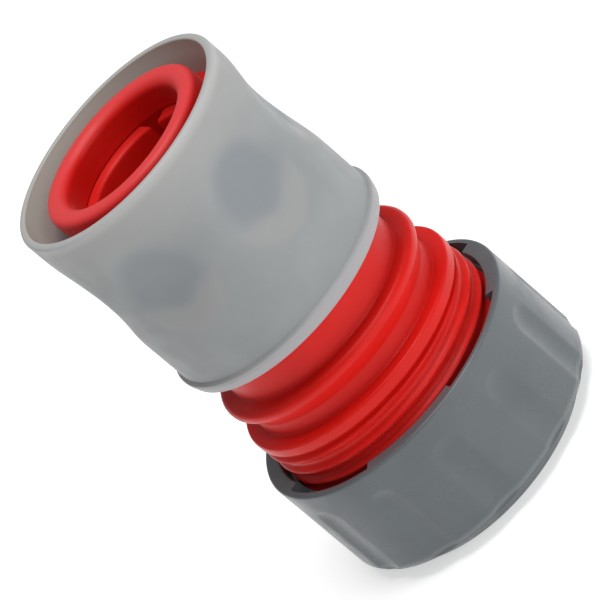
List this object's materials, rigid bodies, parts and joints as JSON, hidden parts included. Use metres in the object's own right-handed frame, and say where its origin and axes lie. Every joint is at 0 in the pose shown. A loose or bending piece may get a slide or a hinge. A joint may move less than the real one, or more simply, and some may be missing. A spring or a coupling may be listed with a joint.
{
  "type": "garden hose quick connector",
  "caption": "Garden hose quick connector with a dimpled release sleeve over a red socket body, sprung locking claws and a fluted hose clamp nut.",
  "frame": {"origin": "on the axis, in the plane of the clamp nut's rear face, which the connector stands on", "axes": "+Z along the bore axis, from the hose end to the mouth; the pictured side faces -Y"},
  "size_m": [0.0375, 0.0374, 0.0606],
  "materials": {
    "red_plastic": "semi-gloss moulded",
    "light_grey_plastic": "satin moulded",
    "dark_grey_plastic": "satin moulded",
    "grip_ring_plastic": "satin moulded",
    "spring_steel": "drawn wire"
  },
  "bodies": {
    "body": {"connector_body": "red_plastic", "sleeve_spring": "spring_steel"},
    "sleeve": {"release_sleeve": "light_grey_plastic"},
    "claw_1": {"locking_claw_1": "red_plastic"},
    "claw_2": {"locking_claw_2": "red_plastic"},
    "claw_3": {"locking_claw_3": "red_plastic"},
    "grip_ring": {"hose_grip_ring": "grip_ring_plastic"},
    "nut": {"clamp_nut": "dark_grey_plastic"}
  },
  "joints": [
    {"name": "sleeve_slide", "type": "slide", "parent": "body", "child": "sleeve", "axis": [0, 0, -1], "range_m": [0, 0.0048], "stiffness_N_per_m": 600, "springref_m": -0.006, "deforming": ["sleeve_spring"]},
    {"name": "claw_1_slide", "type": "slide", "parent": "body", "child": "claw_1", "axis": [0.9976, -0.0698, 0], "range_m": [0, 0.00145]},
    {"name": "claw_2_slide", "type": "slide", "parent": "body", "child": "claw_2", "axis": [-0.4384, 0.8988, 0], "range_m": [0, 0.00145]},
    {"name": "claw_3_slide", "type": "slide", "parent": "body", "child": "claw_3", "axis": [-0.5592, -0.829, 0], "range_m": [0, 0.00145]},
    {"name": "grip_ring_travel", "type": "slide", "parent": "body", "child": "grip_ring", "axis": [0, 0, 1], "range_m": [-0.004, 0.00576]},
    {"name": "nut_turn", "type": "hinge", "parent": "grip_ring", "child": "nut", "pos_m": [0, 0, 0], "axis": [0, 0, 1], "range_deg": [-720.1, 1036.9]}
  ],
  "couplings": [
    {"joint": "claw_1_slide", "follows": "sleeve_slide", "ratio": 0.3},
    {"joint": "claw_2_slide", "follows": "sleeve_slide", "ratio": 0.3},
    {"joint": "claw_3_slide", "follows": "sleeve_slide", "ratio": 0.3},
    {"joint": "nut_turn", "follows": "grip_ring_travel", "rad_per_m": 3141.6}
  ]
}
